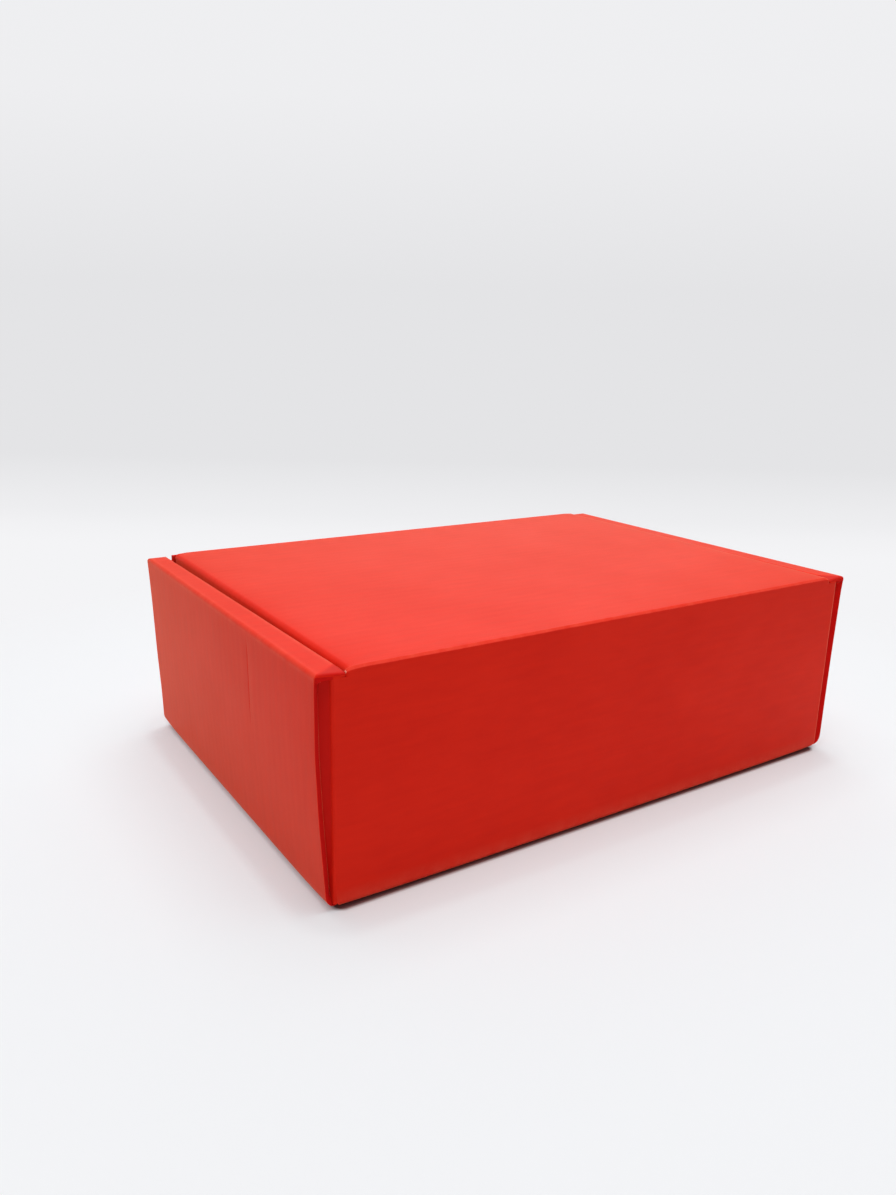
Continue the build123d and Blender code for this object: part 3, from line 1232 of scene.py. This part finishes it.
class Wire:
    """A node's output, whose arithmetic adds Math nodes to the same material."""

    def __init__(self, shader: "Shader", socket: bpy.types.NodeSocket) -> None:
        """Keeps the material's builder and the socket."""
        self.shader = shader
        self.socket = socket

    def __add__(self, other: "Value") -> "Wire":
        """self + other."""
        return self.shader.maths("ADD", self, other)

    def __radd__(self, other: "Value") -> "Wire":
        """other + self."""
        return self.shader.maths("ADD", other, self)

    def __sub__(self, other: "Value") -> "Wire":
        """self - other."""
        return self.shader.maths("SUBTRACT", self, other)

    def __rsub__(self, other: "Value") -> "Wire":
        """other - self."""
        return self.shader.maths("SUBTRACT", other, self)

    def __mul__(self, other: "Value") -> "Wire":
        """self * other."""
        return self.shader.maths("MULTIPLY", self, other)


Value = Wire | float | tuple


class Shader:
    """Builds the nodes of one material or world."""

    def __init__(self, owner: bpy.types.Material | bpy.types.World, output: str) -> None:
        """Empties the owner's nodes and adds its output."""
        self.owner = owner
        owner.use_nodes = True
        self.tree = owner.node_tree
        self.tree.nodes.clear()
        self.output = self.tree.nodes.new(output)

    @classmethod
    def material(cls, name: str) -> "Shader":
        """A new material's builder."""
        return cls(bpy.data.materials.new(name), "ShaderNodeOutputMaterial")

    def node(
        self, kind: str, settings: dict | None = None, inputs: dict | None = None,
        out: int | str = 0,
    ) -> Wire:
        """Adds a node.

        Args:
            kind: The node's type.
            settings: Its properties, set first.
            inputs: Values or wires for its sockets, by name or number.
            out: The output to use.

        Returns:
            The output, as a wire.
        """
        made = self.tree.nodes.new(kind)
        for name, value in (settings or {}).items():
            setattr(made, name, value)
        for name, value in (inputs or {}).items():
            if isinstance(value, Wire):
                self.tree.links.new(value.socket, made.inputs[name])
            else:
                made.inputs[name].default_value = value
        return Wire(self, made.outputs[out])

    def maths(self, operation: str, first: Value, second: Value = 0.0) -> Wire:
        """A Math node on one or two values."""
        return self.node("ShaderNodeMath", {"operation": operation}, {0: first, 1: second})

    def vectors(self, operation: str, first: Value, second: Value = (0.0, 0.0, 0.0)) -> Wire:
        """A Vector Math node on one or two vectors."""
        out = "Value" if operation == "LENGTH" else "Vector"
        inputs = {0: first, 1: second}
        return self.node("ShaderNodeVectorMath", {"operation": operation}, inputs, out)

    def parts(self, vector: Wire) -> list[Wire]:
        """A vector's three parts."""
        first = self.node("ShaderNodeSeparateXYZ", {}, {0: vector})
        return [Wire(self, output) for output in first.socket.node.outputs]

    def place(self) -> Wire:
        """Object coordinates."""
        return self.node("ShaderNodeTexCoord", {}, {}, "Object")

    def sheet(self) -> list[Wire]:
        """The board's own attribute: the distances across and along the flutes, and the fold."""
        named = {"attribute_name": "sheet"}
        return self.parts(self.node("ShaderNodeAttribute", named, {}, "Vector"))

    def mix(self, factor: Value, first: Value, second: Value) -> Wire:
        """A colour between two, by a factor."""
        inputs = {0: factor, 6: first, 7: second}
        return self.node("ShaderNodeMix", {"data_type": "RGBA"}, inputs, 2)

    def noise(self, vector: Wire, scale: float, detail: float, roughness: float) -> Wire:
        """Soft noise from 0 to 1 along a vector."""
        sizes = {"Vector": vector, "Scale": scale, "Detail": detail, "Roughness": roughness}
        return self.node("ShaderNodeTexNoise", {}, sizes)

    def clamp(self, value: Value) -> Wire:
        """A value held between 0 and 1."""
        return self.node("ShaderNodeClamp", {}, {0: value})

    def bump(self, height: Wire, strength: float, distance: float) -> Wire:
        """The normal of a surface with a height."""
        inputs = {"Strength": strength, "Distance": distance, "Height": height}
        return self.node("ShaderNodeBump", {}, inputs)

    def finish(self, surface: Wire) -> bpy.types.Material | bpy.types.World:
        """Links the surface to the output and gives the owner."""
        self.tree.links.new(surface.socket, self.output.inputs["Surface"])
        return self.owner


def shade(red: float, green: float, blue: float) -> Point:
    """A colour written as a screen shows it, 0 to 255, as the linear values that nodes use."""
    parts = (
        ((c / 255 + 0.055) / 1.055) ** 2.4 if c > 10 else c / 255 / 12.92
        for c in (red, green, blue)
    )
    return (*parts, 1.0)


@dataclass(frozen=True)
class Paper:
    """Red paper on corrugated board: mottled, faintly streaked along the flutes, matt.

    Each noise is (scale, detail, roughness), or for one that is drawn out along the flutes
    (scale across, scale along, detail, roughness).
    """

    name: str
    colour: Point
    deep: Point
    wear_and_highlight: Point
    colour_where_shade_painted: Point
    roughness: float = 0.55
    cloud: Point = (22.0, 3.0, 0.55)
    streak: Point = (420.0, 9.0, 3.0, 0.6)
    band: Point = (240.0, 55.0, 2.0, 0.5)
    grain: Point = (1400.0, 2.0, 0.6)
    rub: Point = (160.0, 3.0, 0.65)
    cloud_share: float = 0.9
    streak_share: float = 0.45
    band_share: float = 0.6
    grain_share: float = 0.35
    mean_depth: float = 0.35
    rub_least: float = 0.15
    fold_share: float = 0.8
    cloud_roughness: float = 0.12
    grain_roughness: float = 0.08
    ribs: float = 0.09
    fibre: float = 0.08
    bump_strength: float = 0.35
    bump_distance: float = 0.0002
    gloss: float = 0.08
    sheen: float = 0.6
    sheen_roughness: float = 0.3
    sheen_tint: Point = (1.0, 0.47, 0.22, 1.0)

    def build(self) -> bpy.types.Material:
        """Makes the material.

        The colour goes from the paper's own to a deeper one by soft clouds and by streaks
        that run along the flutes, and a little way to a worn one on the folds, which on one
        corner fold is a painted highlight. Where the fold value is below 0 it goes to a darker
        colour, a painted shade. The bump adds the flutes' faint ribs, sin(2 pi s / pitch), to
        the paper's fibre.

        Returns:
            The material.
        """
        s = Shader.material(self.name)
        across, along, fold = s.sheet()
        place = s.place()

        def drawn_out(wide: float, long: float, detail: float, roughness: float) -> Wire:
            """Noise on the sheet's own distances, about its mean of 0.5."""
            ways = {0: across * wide, 1: along * long, 2: 0.0}
            return s.noise(s.node("ShaderNodeCombineXYZ", {}, ways), 1.0, detail, roughness) - 0.5

        cloud, grain = (s.noise(place, *sizes) - 0.5 for sizes in (self.cloud, self.grain))
        streak, band = drawn_out(*self.streak), drawn_out(*self.band)
        depth = cloud * self.cloud_share + band * self.band_share + streak * self.streak_share
        depth = depth + grain * self.grain_share + self.mean_depth
        colour = s.mix(s.clamp(depth), self.colour, self.deep)
        rub = s.noise(place, *self.rub) - self.rub_least
        colour = s.mix(s.clamp(fold * rub * self.fold_share), colour, self.wear_and_highlight)
        colour = s.mix(s.clamp(fold * -self.fold_share), colour, self.colour_where_shade_painted)
        ribs = s.maths("SINE", across * (2 * math.pi / (BOARD.flute_pitch * MM)))
        height = ribs * self.ribs + grain * self.fibre + streak * self.fibre
        rough = cloud * self.cloud_roughness + self.roughness + grain * self.grain_roughness
        surface = s.node("ShaderNodeBsdfPrincipled", {}, {
            "Base Color": colour, "Roughness": rough,
            "Normal": s.bump(height, self.bump_strength, self.bump_distance),
            "Specular IOR Level": self.gloss, "Sheen Weight": self.sheen,
            "Sheen Roughness": self.sheen_roughness, "Sheen Tint": self.sheen_tint,
        })
        return s.finish(surface)


@dataclass(frozen=True)
class CutEdge:
    """The raw cut of the board: red right through, darker and rough between the liners."""

    name: str
    colour: Point
    deep: Point
    colour_where_shade_painted: Point
    fibre: Point = (2600.0, 3.0, 0.7)
    roughness: float = 0.9
    gloss: float = 0.15
    bump_strength: float = 0.5
    bump_distance: float = 0.0002

    def build(self) -> bpy.types.Material:
        """Makes the material: fine torn fibre between two colours, with hardly any shine."""
        s = Shader.material(self.name)
        fibre = s.noise(s.place(), *self.fibre)
        # Where the fold value is below 0, as under the paper's painted shade, the cut takes its
        # third colour.
        flat = s.clamp(s.sheet()[2] * -1.0)
        surface = s.node("ShaderNodeBsdfPrincipled", {}, {
            "Base Color": s.mix(flat, s.mix(fibre, self.colour, self.deep), self.colour_where_shade_painted),
            "Roughness": self.roughness, "Specular IOR Level": self.gloss,
            "Normal": s.bump(fibre, self.bump_strength, self.bump_distance),
        })
        return s.finish(surface)


@dataclass(frozen=True)
class Lamp:
    """A square soft lamp: its place, aim and side in metres, and its power in watts."""

    name: str
    place: Point
    aim: Point
    side: float
    power: float

    def build(self) -> None:
        """Hangs the lamp."""
        light = bpy.data.lights.new(self.name, "AREA")
        light.shape = "SQUARE"
        light.size = self.side
        light.energy = self.power
        made = placed(self.name, light)
        made.location = self.place
        way = Vector(self.aim) - Vector(self.place)
        made.rotation_euler = way.to_track_quat("-Z", "Y").to_euler()


@dataclass(frozen=True)
class Floor:
    """A pale seamless floor that curves up into a backdrop.

    Lengths are in millimetres for its shape and in metres for its finish. Each stop of the
    backdrop's tone is (share of the height that the ramp covers, colour).
    """

    front: float = -2500.0
    wall: float = 900.0
    sweep: float = 380.0
    height: float = 3500.0
    half_width: float = 3500.0
    steps: tuple[int, int] = (30, 10)
    columns: int = 31
    paper: Point = (231, 235, 237)
    # Painted contact shadow: the deep colour put on the floor close round the box's footprint.
    painted_contact_shadow: Point = (134, 97, 95)
    # The backdrop's glow is painted darker in a low band: a painted shade on the wall.
    backdrop: tuple[tuple[float, Point], ...] = (
        (0.0, (244, 244, 246)), (1.0, (243, 244, 246)), (0.015, (238, 238, 240)),
        (0.06, (228, 228, 230)), (0.25, (228, 228, 230)), (0.45, (238, 238, 240)),
    )
    backdrop_rise: float = 0.8
    footprint: Point = (0.1535, 0.1102, 0.0)
    contact_end: float = 0.004
    contact_rise: float = 500.0
    near_rise: float = 300.0
    near_lift: float = 0.27
    far_rise: float = 45.0
    far_lift: float = 0.7
    reach_start: float = 0.3
    reach_rise: float = 2.0

    def build(self, azimuth: float) -> bpy.types.Object:
        """Makes the floor, square to the view.

        Its profile runs level away from the camera, turns up through an arc and rises: it is
        a rounded polyline, carried along the picture's width.

        Args:
            azimuth: The camera's azimuth in degrees.

        Returns:
            The floor.
        """
        corners = [(self.front, 0), (self.wall, 0), (self.wall, self.height)]
        profile = rounded(corners, [0, self.sweep, 0], [even(count) for count in self.steps])
        a = math.radians(azimuth)
        ahead, aside = np.array([-math.sin(a), math.cos(a)]), np.array([math.cos(a), math.sin(a)])
        stations = np.linspace(-self.half_width, self.half_width, self.columns)
        points = np.empty((len(profile), len(stations), 3))
        points[..., :2] = profile[:, :1, None] * ahead + stations[None, :, None] * aside
        points[..., 2] = profile[:, 1:]
        numbers = np.arange(points[..., 0].size).reshape(points.shape[:2])
        quads = cell_corners(numbers)[..., [0, 3, 2, 1]].reshape(-1, 4)
        mesh = bpy.data.meshes.new("floor")
        mesh.from_pydata((points.reshape(-1, 3) * MM).tolist(), [], quads.tolist())
        mesh.polygons.foreach_set("use_smooth", np.ones(len(mesh.polygons), bool))
        mesh.materials.append(self.finish())
        made = placed("floor", mesh)
        return made

    def finish(self) -> bpy.types.Material:
        """White paper that takes the box's shadow, painted deep where the box nearly touches it.

        Beyond the contact shade a share of the backdrop's own tone comes in at once, and the
        rest of it with the distance from the box.

        Returns:
            The material.
        """
        s = Shader.material("floor")
        place = s.place()
        reach = s.vectors("LENGTH", place)
        aside = s.vectors("SUBTRACT", s.vectors("ABSOLUTE", place), self.footprint)
        clear = s.vectors("LENGTH", s.vectors("MAXIMUM", aside)) - self.contact_end
        near = s.clamp(clear * self.near_rise) * self.near_lift
        beyond = s.clamp(clear * self.far_rise) * self.far_lift
        beyond = beyond + (reach - self.reach_start) * self.reach_rise
        far = s.clamp(s.maths("MAXIMUM", near, beyond))
        # Painted contact shadow, deep within a few millimetres of the box's footprint.
        shadow = s.clamp(clear * self.contact_rise)
        paper = s.mix(shadow, shade(*self.painted_contact_shadow), shade(*self.paper))
        tone = s.node("ShaderNodeValToRGB", {}, {0: s.parts(place)[2] * self.backdrop_rise})
        ramp = tone.socket.node.color_ramp
        for k, (stop, colour) in enumerate(self.backdrop):
            mark = ramp.elements[k] if k < 2 else ramp.elements.new(stop)
            mark.position, mark.color = stop, shade(*colour)
        seen = s.node("ShaderNodeLightPath", {}, {}, "Is Camera Ray")
        others = seen.socket.node.outputs
        seen = seen + Wire(s, others["Is Glossy Ray"]) + Wire(s, others["Is Transmission Ray"])
        matt = s.node("ShaderNodeBsdfDiffuse", {}, {0: paper})
        glow = s.node("ShaderNodeEmission", {}, {0: tone, 1: 1.0})
        both = {0: s.clamp(seen) * far, 1: matt, 2: glow}
        return s.finish(s.node("ShaderNodeMixShader", {}, both))


@dataclass(frozen=True)
class Room:
    """The pale room round the box, which is darker on the camera's side.

    Its level at the direction (x, y, z) is middle + cross x y - side x + up z, held between
    0 and 1, and its strength goes from low to high with the level.
    """

    tint: Point = (246, 247, 250)
    middle: float = 0.5
    cross: float = 0.5
    side: float = 0.29
    up: float = 0.3
    low: float = 0.17
    high: float = 0.56
    seen_strength: float = 0.88

    def build(self) -> None:
        """Makes the world."""
        s = Shader(bpy.data.worlds.new("studio"), "ShaderNodeOutputWorld")
        x, y, z = s.parts(s.node("ShaderNodeTexCoord", {}, {}, "Generated"))
        level = s.clamp(self.middle + x * y * self.cross - x * self.side + z * self.up)
        seen = s.node("ShaderNodeLightPath", {}, {}, "Is Camera Ray")
        strength = self.low + level * (self.high - self.low)
        strength = strength * (1 - seen) + seen * self.seen_strength
        inputs = {0: shade(*self.tint), 1: strength}
        bpy.context.scene.world = s.finish(s.node("ShaderNodeBackground", {}, inputs))


@dataclass(frozen=True)
class Studio:
    """Floor, soft light and the camera. The camera's place is in millimetres."""

    camera_place: Point = (-306.1, -419.1, 229.24)
    azimuth: float = -33.276
    elevation: float = 15.349
    roll: float = 1.218
    lens: float = 27.72
    sensor: float = 36.0
    clip: Point = (0.02, 30.0)
    floor: Floor = Floor()
    room: Room = Room()
    lamps: tuple[Lamp, ...] = (
        Lamp("overhead", (0.0, -0.05, 1.6), (0, 0, 0), 1.4, 21.0),
        Lamp("behind", (0.5, 0.7, 0.45), (0, 0, 0.05), 0.7, 1.7),
    )

    def camera(self) -> None:
        """Stands the camera where the photograph was taken from."""
        lens = bpy.data.cameras.new("camera")
        lens.lens = self.lens
        lens.sensor_width = self.sensor
        lens.sensor_fit = "AUTO"
        lens.clip_start, lens.clip_end = self.clip
        made = placed("camera", lens)
        made.location = Vector(self.camera_place) * MM
        a, e = math.radians(self.azimuth), math.radians(self.elevation)
        back = Vector((math.sin(a) * math.cos(e), -math.cos(a) * math.cos(e), math.sin(e)))
        turn = (-back).to_track_quat("-Z", "Y").to_matrix().to_4x4()
        roll = Matrix.Rotation(math.radians(self.roll), 4, "Z")
        made.rotation_euler = (turn @ roll).to_euler()
        bpy.context.scene.camera = made

    def build(self) -> None:
        """Makes the floor, the light and the camera."""
        self.floor.build(self.azimuth)
        for lamp in self.lamps:
            lamp.build()
        self.room.build()
        self.camera()
        bpy.context.scene.view_settings.view_transform = "Standard"
        log.info("studio: floor, light and camera")


def papers() -> list[bpy.types.Material]:
    """The board's papers, in the order of the liners' values."""
    finishes = (
        # The papers' worn colour is wear and also a painted highlight; their darkest, a painted
        # shade.
        Paper(
            "red paper outside", colour=shade(232, 35, 12), deep=shade(215, 26, 10),
            wear_and_highlight=shade(242, 84, 62), colour_where_shade_painted=shade(200, 10, 4),
        ),
        Paper(
            "red paper inside", colour=shade(212, 40, 24), deep=shade(196, 32, 18),
            wear_and_highlight=shade(220, 72, 56), colour_where_shade_painted=shade(180, 20, 10), roughness=0.7,
        ),
        CutEdge("cut edge", shade(222, 12, 4), shade(200, 6, 2), shade(231, 34, 11)),
        CutEdge("torn paper", shade(252, 190, 172), shade(244, 140, 118), shade(244, 140, 118)),
    )
    return [finish.build() for finish in finishes]


def main() -> None:
    """Builds the box and its studio."""
    logging.basicConfig(level=logging.INFO)
    board = papers()
    settle = Settling(crease_drop=1.1, crease_reach=230.0, side_drop=0.6, side_reach=10.0)
    Tray(board, Settling()).build()
    Lid(board, settle).build()
    Crease(board, settle).build()
    Studio().build()


if __name__ == "__main__":
    main()
